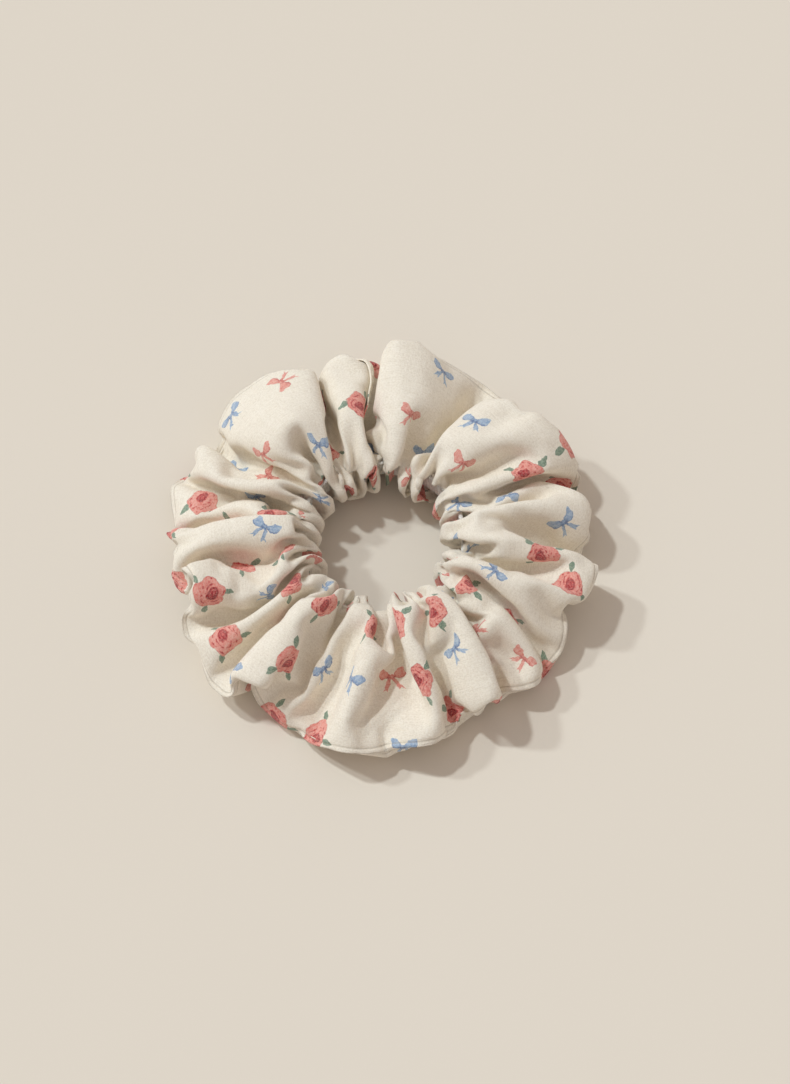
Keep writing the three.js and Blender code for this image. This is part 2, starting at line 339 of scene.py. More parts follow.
def gather_cloth():
    """Draws the tube in onto the elastic and lets it come to rest on the floor."""
    points, rough = tube_before_gathering()
    faces = grid_faces(ROWS, COLUMNS, True, True)
    piece = mesh_piece("gathering", points.reshape(-1, 3) * SIM_SCALE, faces)
    places = gathered_points(rough)
    piece.vertex_groups.new(name="held").add(list(places), 1.0, "REPLACE")
    stiffness = piece.vertex_groups.new(name="stiffness")
    spacing = TUBE_AROUND / COLUMNS
    for column in range(1, COLUMNS):
        from_rim = min(column, COLUMNS - column) * spacing
        weight = 1.0 if from_rim <= STEADY_ALLOWANCE else BODY_STIFFNESS
        numbers = [row * COLUMNS + column for row in range(ROWS)]
        stiffness.add(numbers, weight, "REPLACE")
    piece.shape_key_add(name="Basis")
    gathered = piece.shape_key_add(name="gathered")
    for number, place in places.items():
        gathered.data[number].co = Vector(place) * SIM_SCALE
    for at, share in ((1, 0.0), (PULL_FRAMES, 1.0)):
        gathered.value = share
        gathered.keyframe_insert("value", frame=at)
    ease(piece.data.shape_keys)
    cloth_settings(piece)
    corners = [(-0.3, -0.3, 0), (0.3, -0.3, 0), (0.3, 0.3, 0), (-0.3, 0.3, 0)]
    table = hard_surface("table", corners, [(0, 1, 2, 3)], 1 * MM, 20)
    elastic = drawn_elastic(points[..., 2].mean())
    scene = bpy.context.scene
    for at in range(1, PULL_FRAMES + REST_FRAMES + 1):
        scene.frame_set(at)
    settled = piece.evaluated_get(bpy.context.evaluated_depsgraph_get()).data
    found = np.zeros(len(settled.vertices) * 3)
    settled.vertices.foreach_get("co", found)
    for used in (piece, table, elastic):
        bpy.data.objects.remove(used)
    scene.frame_set(1)
    return found.reshape(ROWS, COLUMNS, 3) / SIM_SCALE


# ---- Cover: the fine surface through the gathered points ------------------------------------------


def spline_weights(places, count, closes):
    """Cubic B-spline weights (places x count). An open run passes through its two ends."""
    base = np.floor(places).astype(int)
    if not closes:
        base = np.minimum(base, count - 2)
    t = places - base
    parts = [
        (1 - t) ** 3 / 6,
        (3 * t**3 - 6 * t**2 + 4) / 6,
        (-3 * t**3 + 3 * t**2 + 3 * t + 1) / 6,
        t**3 / 6,
    ]
    weights = np.zeros((len(places), count))
    lines = np.arange(len(places))
    for step, part in zip((-1, 0, 1, 2), parts):
        at = base + step
        if closes:
            np.add.at(weights, (lines, at % count), part)
            continue
        inside = np.clip(at, 0, count - 1)
        np.add.at(weights, (lines, inside), np.where(at == inside, part, 2 * part))
        before, after = at < 0, at > count - 1
        np.add.at(weights, (lines[before], np.full(before.sum(), 1)), -part[before])
        np.add.at(weights, (lines[after], np.full(after.sum(), count - 2)), -part[after])
    return weights


FINE_ROWS = 2 * ROWS
RIM_LINES = np.array([0.35, 0.7, 1.0, 1.3, 1.6, 2.0, 2.6]) * MM  # close lines beside the rim
BODY_LINES = 66  # lines round the rest of the tube
ELASTIC_ROOM = 0.7 * MM  # kept clear round the elastic
CREASE_SLOPE = 3 * MM  # how far beside the elastic the cloth is eased off it


def lines_round():
    """Distances round the tube, from the rim back to the rim, where the fine mesh has a line."""
    body = np.linspace(RIM_LINES[-1], TUBE_AROUND - RIM_LINES[-1], BODY_LINES)
    far = TUBE_AROUND - RIM_LINES[-2::-1]
    return np.concatenate([[0], RIM_LINES[:-1], body, far, [TUBE_AROUND]])


def clear_elastic(points, around):
    """At deep creases, lifts the top cloth over the elastic and lowers the bottom cloth under it."""
    radius = np.hypot(points[..., 0], points[..., 1])
    beside = np.abs(radius - ELASTIC_RADIUS) - ELASTIC_THICKNESS / 2 - ELASTIC_ROOM
    near = np.clip(1 - beside / CREASE_SLOPE, 0, 1)
    side = np.where(around < TUBE_AROUND / 2, 1.0, -1.0)
    height = (points[..., 2] - ELASTIC_LEVEL) * side
    wanted = (ELASTIC_WIDTH / 2 + ELASTIC_ROOM) * near * (2 - near)
    shift = np.where(near > 0, np.maximum(wanted - height, 0), 0)
    for axis in (0, 1):
        shift = (np.roll(shift, 1, axis) + 2 * shift + np.roll(shift, -1, axis)) / 4
    shift = np.maximum(shift, np.where(near == 1, np.maximum(wanted - height, 0), 0))
    moved = points.copy()
    moved[..., 2] += shift * side
    return moved


def surface_normals(points):
    along = np.gradient(points, axis=0)
    around = np.gradient(points, axis=1)
    return unit(np.cross(along, around))


def fine_surface(coarse, seam_row):
    """The cloth as a fine grid of points (rows x lines), starting at the closing seam.

    Its first rows are the tube's inner end, tucked under its last rows, the outer end."""
    around = lines_round()
    closed = np.concatenate([coarse, coarse[:, :1]], axis=1)
    across = spline_weights(around / TUBE_AROUND * COLUMNS, COLUMNS + 1, False)
    spacing = STRIP_LENGTH / FINE_ROWS
    overlap = math.ceil(HEM_OVERLAP / spacing)
    numbers = np.arange(FINE_ROWS + overlap + 1)
    places = (seam_row + numbers * ROWS / FINE_ROWS) % ROWS
    lengthwise = spline_weights(places, ROWS, True)
    points = np.einsum("ar,rcx,bc->abx", lengthwise, closed, across)
    points[..., 2] -= points[..., 2].min()
    points = clear_elastic(points, around)
    normals = surface_normals(points)
    from_rim = np.minimum(around, TUBE_AROUND - around)
    groove = np.exp(-(((from_rim - RIM_STITCH) / (0.3 * MM)) ** 2))
    points -= normals * (groove * RIM_GROOVE)[None, :, None]
    outer_end = numbers - FINE_ROWS
    lift = HEM_LIFT * np.clip(1 + outer_end / 4, 0, 1)
    points += normals * lift[:, None, None]
    tuck = 0.25 * MM * np.clip(1 - (numbers - overlap) / 4, 0, 1)
    points -= normals * tuck[:, None, None]
    return points, normals, numbers * spacing, around


# ---- Print: where each motif lies on the cloth ----------------------------------------------------

ROSE, CORAL_BOW, BLUE_BOW = 0, 1, 2
# Motifs that show on top: kind, degrees round the ring, millimetres out from the hole's centre, and
# the direction that the motif's top points, in degrees. All as seen from the camera.
SHOWN_MOTIFS = [
    (ROSE, 108, 47, 70), (ROSE, 97, 44, 90), (ROSE, 160, 47, 120), (ROSE, 193, 42, 150),
    (ROSE, 187, 51, 170), (ROSE, 209, 43, 200), (ROSE, 239, 50, 220), (ROSE, 252, 49, 240),
    (ROSE, 293, 43, 90), (ROSE, 34, 44, 60), (ROSE, 26, 49, 60), (ROSE, 4, 40, 30),
    (ROSE, 352, 46, 0), (ROSE, 55, 13, 200), (ROSE, 96, 24, 200), (ROSE, 318, 17, 90),
    (CORAL_BOW, 135, 41, 120), (CORAL_BOW, 275, 31, 95), (CORAL_BOW, 54, 33, 60),
    (CORAL_BOW, 80, 41, 70), (CORAL_BOW, 324, 43, 50), (CORAL_BOW, 147, 17, 60),
    (BLUE_BOW, 134, 55, 135), (BLUE_BOW, 117, 35, 90), (BLUE_BOW, 150, 35, 120),
    (BLUE_BOW, 163, 29, 60), (BLUE_BOW, 172, 35, 100), (BLUE_BOW, 74, 56, 75),
    (BLUE_BOW, 71, 32, 90), (BLUE_BOW, 60, 45, 60), (BLUE_BOW, 40, 25, 50),
    (BLUE_BOW, 8, 22, 20), (BLUE_BOW, 15, 47, 130), (BLUE_BOW, 309, 29, 120),
    (BLUE_BOW, 321, 55, 70), (BLUE_BOW, 277, 50, 85), (BLUE_BOW, 245, 31, 110),
    (BLUE_BOW, 258, 31, 60), (BLUE_BOW, 227, 53, 100), (BLUE_BOW, 206, 55, 90),
]
MOTIF_SPACING = 16.5 * MM
LEAST_SPACING = 10 * MM


def wrapped(difference):
    """A difference of two places on the cloth, taken the short way round it."""
    size = np.array([STRIP_LENGTH, TUBE_AROUND])
    return (difference + size / 2) % size - size / 2


def shown_spot(tree, faces_per_row, points, along, around, towards_camera, motif):
    """Where a motif that shows lies on the cloth: (along, around) and its turn there."""
    _, angle, distance, turn = motif
    angle, turn = math.radians(angle), math.radians(turn)
    ground = Vector((math.cos(angle), math.sin(angle), 0)) * distance * MM
    _, _, face, _ = tree.ray_cast(ground + 0.3 * towards_camera, -towards_camera)
    if face is None:
        return None
    row, line = divmod(face, faces_per_row)
    step_along = points[row + 1, line] - points[row, line]
    step_around = points[row, line + 1] - points[row, line]
    lean = towards_camera.y / towards_camera.z
    seen = np.array([[s[0], s[1] - lean * s[2]] for s in (step_along, step_around)]).T
    seen = seen / [along[row + 1] - along[row], around[line + 1] - around[line]]
    up = np.linalg.pinv(seen, rcond=0.2) @ [math.cos(turn), math.sin(turn)]
    return along[row], around[line], math.atan2(up[1], up[0]) - math.pi / 2


def lay_out_motifs(points, along, around, towards_camera):
    """All the motifs on the strip: rows of (along, around, turn, kind)."""
    rows, lines = points.shape[:2]
    faces = grid_faces(rows, lines, False, False)
    tree = BVHTree.FromPolygons(points.reshape(-1, 3).tolist(), faces.tolist())
    spots = []

    def is_clear(place, least):
        if not spots:
            return True
        gaps = wrapped(np.array(spots)[:, :2] - place)
        return np.hypot(gaps[:, 0], gaps[:, 1]).min() > least

    for motif in SHOWN_MOTIFS:
        spot = shown_spot(tree, lines - 1, points, along, around, towards_camera, motif)
        if spot and is_clear(np.array(spot[:2]), LEAST_SPACING):
            spots.append((*spot, motif[0]))
    tossed = np.random.default_rng(11)
    across = round(TUBE_AROUND / MOTIF_SPACING)
    down = round(STRIP_LENGTH / MOTIF_SPACING)
    for row in range(down):
        for column in range(across):
            place = np.array([row, column + 0.5 * (row % 2)]) * MOTIF_SPACING
            place = place + tossed.uniform(-2 * MM, 2 * MM, 2)
            turn = tossed.uniform(-math.pi, math.pi)
            kind = (ROSE, BLUE_BOW, ROSE, CORAL_BOW)[(row + 2 * column) % 4]
            if is_clear(place, 0.82 * MOTIF_SPACING):
                spots.append((*place, turn, kind))
    return np.array(spots)


def print_on(piece, along, around, spots):
    """Gives each face of the cover its place in the nearest motif, and its place on the strip."""
    rows, lines = len(along), len(around)
    faces = grid_faces(rows, lines, False, False)
    flat = np.stack(np.meshgrid(along, around, indexing="ij"), -1).reshape(-1, 2)
    corners = flat[faces]
    centres = corners.mean(1)
    gaps = wrapped(centres[:, None] - spots[None, :, :2])
    nearest = np.hypot(gaps[..., 0], gaps[..., 1]).argmin(1)
    centre_gap = gaps[np.arange(len(faces)), nearest]
    offset = corners - centres[:, None] + centre_gap[:, None]
    turn = spots[nearest, 2][:, None]
    across = offset[..., 0] * np.cos(turn) + offset[..., 1] * np.sin(turn)
    up = offset[..., 1] * np.cos(turn) - offset[..., 0] * np.sin(turn)
    shade = (nearest * 0.618) % 1
    place = np.stack([across / MM, up / MM, np.broadcast_to(shade[:, None], up.shape)], -1)
    mesh = piece.data
    mesh.attributes.new("motif_place", "FLOAT_VECTOR", "CORNER")
    mesh.attributes["motif_place"].data.foreach_set("vector", place.ravel())
    kinds = np.repeat(spots[nearest, 3], 4)
    mesh.attributes.new("motif_kind", "FLOAT", "CORNER")
    mesh.attributes["motif_kind"].data.foreach_set("value", kinds)
    from_rim = np.minimum(corners[..., 1], TUBE_AROUND - corners[..., 1])
    strip = np.stack([corners[..., 0] / MM, corners[..., 1] / MM, from_rim / MM], -1)
    mesh.attributes.new("strip_place", "FLOAT_VECTOR", "CORNER")
    mesh.attributes["strip_place"].data.foreach_set("vector", strip.ravel())


# ---- Materials ------------------------------------------------------------------------------------


class Wiring:
    """Short ways to add and join the nodes of one tree."""

    def __init__(self, tree):
        self.tree = tree

    def node(self, kind, **settings):
        node = self.tree.nodes.new("ShaderNode" + kind)
        for name, value in settings.items():
            setattr(node, name, value)
        return node

    def feed(self, socket, value):
        if isinstance(value, bpy.types.NodeSocket):
            self.tree.links.new(value, socket)
        elif value is not None:
            socket.default_value = value

    def calc(self, operation, *values, clamp=False):
        node = self.node("Math", operation=operation, use_clamp=clamp)
        for socket, value in zip(node.inputs, values):
            self.feed(socket, value)
        return node.outputs[0]

    def vector(self, operation, *values):
        node = self.node("VectorMath", operation=operation)
        for socket, value in zip(node.inputs, values):
            self.feed(socket, value)
        return node.outputs["Value"] if operation in ("LENGTH", "DOT_PRODUCT") else node.outputs[0]

    def split(self, vector):
        node = self.node("SeparateXYZ")
        self.feed(node.inputs[0], vector)
        return node.outputs[0], node.outputs[1], node.outputs[2]

    def combine(self, x, y, z=0.0):
        node = self.node("CombineXYZ")
        for socket, value in zip(node.inputs, (x, y, z)):
            self.feed(socket, value)
        return node.outputs[0]

    def step(self, value, low, high):
        """0 below low and 1 above high, or the other way round where low is the larger."""
        node = self.node("MapRange", interpolation_type="SMOOTHSTEP")
        if isinstance(low, float) and isinstance(high, float) and low > high:
            for socket, number in zip(node.inputs, (value, high, low, 1.0, 0.0)):
                self.feed(socket, number)
        else:
            for socket, number in zip(node.inputs, (value, low, high, 0.0, 1.0)):
                self.feed(socket, number)
        return node.outputs[0]

    def noise(self, place, scale, detail=2.0, roughness=0.5):
        node = self.node("TexNoise")
        self.feed(node.inputs["Vector"], place)
        self.feed(node.inputs["Scale"], scale)
        self.feed(node.inputs["Detail"], detail)
        self.feed(node.inputs["Roughness"], roughness)
        return node

    def mix(self, share, first, second):
        node = self.node("Mix", data_type="RGBA")
        self.feed(node.inputs["Factor"], share)
        self.feed(node.inputs["A"], first)
        self.feed(node.inputs["B"], second)
        return node.outputs["Result"]

    def ramp(self, value, *stops):
        node = self.node("ValToRGB")
        stops_there = node.color_ramp.elements
        for index, (position, colour) in enumerate(stops):
            stop = stops_there[index] if index < 2 else stops_there.new(position)
            stop.position = position
            stop.color = colour
        self.feed(node.inputs[0], value)
        return node.outputs[0]

    def attribute(self, name):
        return self.node("Attribute", attribute_name=name)

    def group(self, tree, **values):
        node = self.node("Group", node_tree=tree)
        for name, value in values.items():
            self.feed(node.inputs[name.replace("_", " ")], value)
        return node.outputs


def paint(red, green, blue):
    """A colour given as it looks on a screen, 0 to 255, as linear light."""
    parts = [part / 255 for part in (red, green, blue)]
    return (*[p / 12.92 if p < 0.04045 else ((p + 0.055) / 1.055) ** 2.4 for p in parts], 1.0)


def new_group(name, inputs, outputs):
    """An empty shader group, as (tree, wiring, its input sockets by name, its output node)."""
    tree = bpy.data.node_groups.new(name, "ShaderNodeTree")
    for direction, sockets in (("INPUT", inputs), ("OUTPUT", outputs)):
        for label, kind in sockets:
            tree.interface.new_socket(label, in_out=direction, socket_type="NodeSocket" + kind)
    wiring = Wiring(tree)
    given = tree.nodes.new("NodeGroupInput").outputs
    result = tree.nodes.new("NodeGroupOutput").inputs
    return tree, wiring, given, result


def weave_group():
    """Plain weave of uneven yarns: Height for a bump, and Fleck, its lighter and darker spots."""
    tree, w, given, result = new_group(
        "plain weave",
        [("Place", "Vector"), ("Pitch", "Float"), ("Slub", "Float")],
        [("Height", "Float"), ("Fleck", "Float")],
    )
    wobble = w.noise(given["Place"], 0.35, 2.0).outputs["Color"]
    wobble = w.vector("SCALE", w.vector("SUBTRACT", wobble, (0.5, 0.5, 0.5)))
    wobble.node.inputs["Scale"].default_value = 0.7
    x, y, _ = w.split(w.vector("ADD", given["Place"], wobble))
    turn = w.calc("DIVIDE", math.pi, given["Pitch"])
    warp = w.calc("SINE", w.calc("MULTIPLY", x, turn))
    weft = w.calc("SINE", w.calc("MULTIPLY", y, turn))
    over = w.calc("MULTIPLY", warp, weft)
    slub_warp = w.noise(w.vector("MULTIPLY", given["Place"], (4.0, 0.22, 1.0)), 0.7).outputs["Fac"]
    slub_weft = w.noise(w.vector("MULTIPLY", given["Place"], (0.22, 4.0, 1.0)), 0.7).outputs["Fac"]
    uneven = w.calc("SUBTRACT", w.calc("ADD", slub_warp, slub_weft), 1.0)
    slub = w.calc("MULTIPLY", uneven, given["Slub"])
    grain = w.noise(given["Place"], 1.9, 3.0, 0.65).outputs["Fac"]
    height = w.calc("ADD", w.calc("MULTIPLY", w.calc("ABSOLUTE", over), 0.35), slub)
    height = w.calc("ADD", height, w.calc("MULTIPLY", grain, 1.6))
    fleck = w.calc("ADD", w.calc("SUBTRACT", grain, 0.5), w.calc("MULTIPLY", slub, 0.6))
    w.feed(result["Height"], height)
    w.feed(result["Fleck"], fleck)
    return tree


def tone_colours(w, tone, *stops):
    """A wash of paint, from its lightest tone to its darkest."""
    return w.ramp(tone, *[(position, paint(*colour)) for position, colour in stops])


def hand_drawn(w, given, drift_scale, drift_size):
    """A motif's own x and y in millimetres, drawn unevenly, its shade number, and its washes."""
    x, y, shade = w.split(given["Place"])
    own = w.combine(x, y, w.calc("MULTIPLY", shade, 40.0))
    drift = w.vector("SUBTRACT", w.noise(own, drift_scale, 2.0).outputs["Color"], (0.5, 0.5, 0.5))
    drift_x, drift_y, _ = w.split(drift)
    x = w.calc("ADD", x, w.calc("MULTIPLY", drift_x, drift_size))
    y = w.calc("ADD", y, w.calc("MULTIPLY", drift_y, drift_size))
    wash = w.noise(own, 0.8, 3.0, 0.6).outputs["Fac"]
    grain = w.noise(own, 2.1, 2.0, 0.7).outputs["Fac"]
    return x, y, shade, wash, grain


def far_from(w, x, y, wide=1.0, tall=1.0):
    across = w.calc("POWER", w.calc("DIVIDE", x, wide), 2.0)
    up = w.calc("POWER", w.calc("DIVIDE", y, tall), 2.0)
    return w.calc("SQRT", w.calc("ADD", across, up))


def band_at(w, value, centre, half):
    """1 where a value is near the centre of a band, falling to 0 at half its width away."""
    away = w.calc("ABSOLUTE", w.calc("SUBTRACT", value, centre))
    return w.step(away, half, half * 0.35)


def total(w, *parts):
    """The sum of (value, share) pairs, kept between 0 and 1."""
    result = 0.0
    for value, share in parts:
        result = w.calc("ADD", result, w.calc("MULTIPLY", value, share))
    return w.calc("ADD", result, 0.0, clamp=True)


def rose_group():
    """A hand-painted rose about 9 mm across: its Colour, and Ink, how much of it covers the cloth."""
    tree, w, given, result = new_group(
        "rose", [("Place", "Vector")], [("Colour", "Color"), ("Ink", "Float")]
    )
    x, y, shade, wash, grain = hand_drawn(w, given, 0.4, 2.0)

    # Outline of about five petals.
    turn = w.calc("ARCTAN2", y, x)
    phase = w.calc("MULTIPLY", shade, 6.28)
    lobes = w.calc("SINE", w.calc("ADD", w.calc("MULTIPLY", turn, 5.0), phase))
    edge = w.calc("ADD", 4.15, w.calc("MULTIPLY", lobes, 0.3))
    inside = w.calc("SUBTRACT", edge, far_from(w, x, y))
    petals = w.step(inside, -0.14, 0.14)

    # A cupped heart, off centre, drawn with a dark line, and broken strokes winding round it.
    heart_x = w.calc("SUBTRACT", x, w.calc("MULTIPLY", w.calc("COSINE", phase), 0.95))
    heart_y = w.calc("SUBTRACT", y, w.calc("MULTIPLY", w.calc("SINE", phase), 0.95))
    heart = far_from(w, heart_x, heart_y, 1.75, 1.35)
    heart_turn = w.calc("ARCTAN2", heart_y, heart_x)
    cup = w.step(heart, 1.08, 0.82)
    cup_line = band_at(w, heart, 0.86, 0.34)
    roll = w.calc("MULTIPLY", w.calc("SINE", heart_turn), 0.18)
    rolled = band_at(w, w.calc("ADD", heart, roll), 0.36, 0.2)
    wave = w.calc("MULTIPLY", w.calc("SINE", w.calc("ADD", heart_turn, phase)), 0.3)
    winding = w.calc("ADD", heart, wave)
    strokes = w.calc("ADD", band_at(w, winding, 1.62, 0.2), band_at(w, winding, 2.35, 0.18))
    strokes = w.calc("MULTIPLY", strokes, w.step(wash, 0.44, 0.58))
    pooled = band_at(w, inside, 0.2, 0.4)
    tone = total(
        w, (wash, 0.62), (w.calc("SUBTRACT", grain, 0.5), 0.7), (cup, 0.42), (cup_line, 0.3),
        (rolled, 0.2), (strokes, 0.42), (pooled, 0.07), (shade, 0.12), (-1.0, 0.17),
    )
    colour = tone_colours(
        w, tone, (0.0, (240, 170, 157)), (0.26, (229, 138, 127)), (0.5, (210, 94, 90)),
        (0.75, (178, 44, 54)), (1.0, (144, 24, 38)),
    )

    # Three leaves standing out from under the petals.
    leaves, vein = 0.0, 0.0
    for lean, start in ((2.55, 5.3), (0.5, 5.6), (4.4, 5.2)):
        bend = w.calc("ADD", lean, w.calc("MULTIPLY", shade, 1.1))
        cos, sin = w.calc("COSINE", bend), w.calc("SINE", bend)
        out = w.calc("ADD", w.calc("MULTIPLY", x, cos), w.calc("MULTIPLY", y, sin))
        side = w.calc("SUBTRACT", w.calc("MULTIPLY", y, cos), w.calc("MULTIPLY", x, sin))
        along = w.calc("DIVIDE", w.calc("SUBTRACT", out, start), 1.8)
        width = w.calc("MULTIPLY", w.calc("SUBTRACT", 1.0, w.calc("POWER", along, 2.0)), 0.9)
        within = w.calc("SUBTRACT", width, w.calc("ABSOLUTE", side))
        leaves = w.calc("MAXIMUM", leaves, w.step(within, -0.06, 0.12))
        vein = w.calc("MAXIMUM", vein, band_at(w, side, 0.0, 0.2))
    leaf_tone = total(w, (wash, 0.75), (grain, 0.6), (vein, 0.12), (-1.0, 0.2))
    green = tone_colours(
        w, leaf_tone, (0.1, (150, 172, 150)), (0.5, (104, 134, 114)), (0.95, (62, 92, 78))
    )
    w.feed(result["Colour"], w.mix(petals, green, colour))
    ink = w.calc("MAXIMUM", petals, w.calc("MULTIPLY", leaves, 0.95))
    w.feed(result["Ink"], w.calc("MULTIPLY", ink, total(w, (grain, 0.4), (1.0, 0.76))))
    return tree


def bow_group():
    """A hand-painted ribbon bow about 7 mm wide: Tone, light to dark, and Ink, its cover."""
    tree, w, given, result = new_group(
        "ribbon bow", [("Place", "Vector")], [("Tone", "Float"), ("Ink", "Float")]
    )
    x, y, shade, wash, grain = hand_drawn(w, given, 0.5, 1.7)
    out = w.calc("ABSOLUTE", x)

    # Two loops that widen from the knot.
    along = w.calc("DIVIDE", out, 3.6, clamp=True)
    rise = w.calc("ADD", 0.1, w.calc("MULTIPLY", along, 1.2))
    half = w.calc("MULTIPLY", along, w.calc("POWER", w.calc("SUBTRACT", 1.0, along), 0.45))
    half = w.calc("ADD", 0.14, w.calc("MULTIPLY", half, 3.3))
    loop_y = w.calc("SUBTRACT", y, rise)
    within = w.calc("SUBTRACT", half, w.calc("ABSOLUTE", loop_y))
    loops = w.calc("MULTIPLY", w.step(within, -0.08, 0.14), w.step(out, 3.6, 3.45))
    loop_edge = w.calc("MULTIPLY", band_at(w, within, 0.1, 0.5), w.step(loop_y, 0.2, -0.5))

    # Two tails with notched ends.
    down = w.calc("DIVIDE", w.calc("MULTIPLY", y, -1.0), 3.9, clamp=True)
    middle = w.calc("ADD", 0.2, w.calc("MULTIPLY", down, 1.9))
    tail_half = w.calc("ADD", 0.34, w.calc("MULTIPLY", down, 0.4))
    aside = w.calc("ABSOLUTE", w.calc("SUBTRACT", out, middle))
    tails = w.step(w.calc("SUBTRACT", tail_half, aside), -0.06, 0.12)
    notch = w.calc("ADD", w.calc("MULTIPLY", aside, 0.26), 0.78)
    tails = w.calc("MULTIPLY", tails, w.step(w.calc("SUBTRACT", notch, down), 0.0, 0.05))
    tails = w.calc("MULTIPLY", tails, w.step(y, 0.1, -0.15))

    knot_reach = far_from(w, x, y, 0.62, 0.75)
    knot = w.step(knot_reach, 1.15, 0.85)
    gathers = w.calc("SINE", w.calc("MULTIPLY", w.calc("ARCTAN2", y, w.calc("ADD", out, 0.01)), 9.0))
    gathers = w.calc("MULTIPLY", gathers, w.step(knot_reach, 4.0, 1.5))
    tone = total(
        w, (wash, 0.85), (gathers, 0.12), (band_at(w, knot_reach, 1.2, 0.9), 0.26),
        (loop_edge, 0.4), (w.calc("SUBTRACT", grain, 0.5), 0.9), (-1.0, 0.08),
    )
    ink = w.calc("MAXIMUM", w.calc("MAXIMUM", loops, tails), knot)
    w.feed(result["Tone"], tone)
    w.feed(result["Ink"], w.calc("MULTIPLY", ink, total(w, (grain, 0.4), (1.0, 0.72))))
    return tree


def new_material(name):
    material = bpy.data.materials.new(name)
    material.use_nodes = True
    shader = material.node_tree.nodes["Principled BSDF"]
    return material, Wiring(material.node_tree), shader


def bumped(w, shader, height, distance, strength=1.0):
    bump = w.node("Bump")
    bump.inputs["Strength"].default_value = strength
    bump.inputs["Distance"].default_value = distance
    w.feed(bump.inputs["Height"], height)
    w.feed(shader.inputs["Normal"], bump.outputs["Normal"])


def printed_cotton(weave):
    material, w, shader = new_material("printed_cotton")
    strip = w.attribute("strip_place").outputs["Vector"]
    place = w.attribute("motif_place").outputs["Vector"]
    kind = w.attribute("motif_kind").outputs["Fac"]
    _, _, from_rim = w.split(strip)
    cloth = w.group(weave, Place=strip, Pitch=0.42, Slub=0.55)
    fleck = total(w, (cloth["Fleck"], 2.9), (1.0, 0.6))
    tint = w.noise(strip, 0.05, 3.0).outputs["Fac"]
    light = w.mix(tint, paint(253, 244, 228), paint(250, 240, 222))
    ground = w.mix(fleck, paint(233, 221, 201), light)

    rose = w.group(rose_group(), Place=place)
    bow = w.group(bow_group(), Place=place)
    coral = tone_colours(
        w, bow["Tone"], (0.1, (238, 172, 158)), (0.5, (222, 128, 118)), (0.95, (190, 80, 80))
    )
    blue = tone_colours(
        w, bow["Tone"], (0.1, (176, 195, 214)), (0.45, (134, 163, 197)), (0.95, (72, 103, 150))
    )
    bow_colour = w.mix(w.calc("GREATER_THAN", kind, 1.5), coral, blue)
    is_bow = w.calc("GREATER_THAN", kind, 0.5)
    is_rose = w.calc("SUBTRACT", 1.0, is_bow)
    ink_colour = w.mix(is_bow, rose["Colour"], bow_colour)
    ink = total(w, (w.calc("MULTIPLY", rose["Ink"], is_rose), 1.0),
                (w.calc("MULTIPLY", bow["Ink"], is_bow), 1.0))
    ink = w.calc("MULTIPLY", ink, total(w, (cloth["Fleck"], 0.8), (1.0, 0.95)))
    colour = w.mix(ink, ground, ink_colour)
    # Painted shade: the cloth is darkened along the stitched groove beside the rim, as shade lying in
    # the groove.
    line = w.calc("ABSOLUTE", w.calc("SUBTRACT", from_rim, RIM_STITCH / MM))
    groove_shade = w.calc("MULTIPLY", w.step(line, 0.32, 0.1), 0.3)
    colour = w.mix(groove_shade, colour, paint(150, 134, 112))
    w.feed(shader.inputs["Base Color"], colour)
    rough = w.calc("ADD", 0.86, w.calc("MULTIPLY", cloth["Fleck"], 0.12))
    w.feed(shader.inputs["Roughness"], rough)
    shader.inputs["Subsurface Weight"].default_value = 0.25
    shader.inputs["Subsurface Scale"].default_value = 2 * MM
    shader.inputs["Subsurface Radius"].default_value = (1.0, 0.9, 0.8)
    shader.inputs["Sheen Weight"].default_value = 0.15
    shader.inputs["Sheen Roughness"].default_value = 0.6
    shader.inputs["Specular IOR Level"].default_value = 0.15
    bumped(w, shader, cloth["Height"], 0.1 * MM)
    return material


def braided_elastic():
    material, w, shader = new_material("braided_elastic")
    place = w.attribute("band_place").outputs["Vector"]
    along, across, _ = w.split(place)
    leans = []
    for slope in (1.0, -1.0):
        lean = w.calc("ADD", along, w.calc("MULTIPLY", across, slope))
        leans.append(w.calc("SINE", w.calc("MULTIPLY", lean, 2 * math.pi / 0.9)))
    braid = w.calc("MAXIMUM", leans[0], leans[1])
    fuzz = w.noise(place, 3.0, 3.0, 0.6).outputs["Fac"]
    tone = w.calc("ADD", w.calc("MULTIPLY", braid, 0.25), fuzz, clamp=True)
    colour = w.ramp(tone, (0.1, paint(206, 202, 192)), (0.8, paint(246, 244, 238)))
    w.feed(shader.inputs["Base Color"], colour)
    w.feed(shader.inputs["Roughness"], w.calc("ADD", 0.6, w.calc("MULTIPLY", fuzz, 0.25)))
    shader.inputs["Sheen Weight"].default_value = 0.1
    bumped(w, shader, w.calc("ADD", braid, fuzz), 0.12 * MM)
    return material


def sewing_thread():
    material, w, shader = new_material("sewing_thread")
    place = w.node("TexCoord").outputs["Object"]
    ply = w.node("TexWave", wave_type="BANDS", bands_direction="DIAGONAL")
    w.feed(ply.inputs["Vector"], place)
    ply.inputs["Scale"].default_value = 1100
    fuzz = w.noise(place, 2500.0, 2.0).outputs["Fac"]
    tone = w.calc("ADD", w.calc("MULTIPLY", ply.outputs["Fac"], 0.5), w.calc("MULTIPLY", fuzz, 0.5))
    colour = w.ramp(tone, (0.1, paint(214, 205, 186)), (0.9, paint(246, 240, 226)))
    w.feed(shader.inputs["Base Color"], colour)
    w.feed(shader.inputs["Roughness"], w.calc("ADD", 0.5, w.calc("MULTIPLY", fuzz, 0.2)))
    shader.inputs["Sheen Weight"].default_value = 0.1
    bumped(w, shader, ply.outputs["Fac"], 0.05 * MM)
    return material


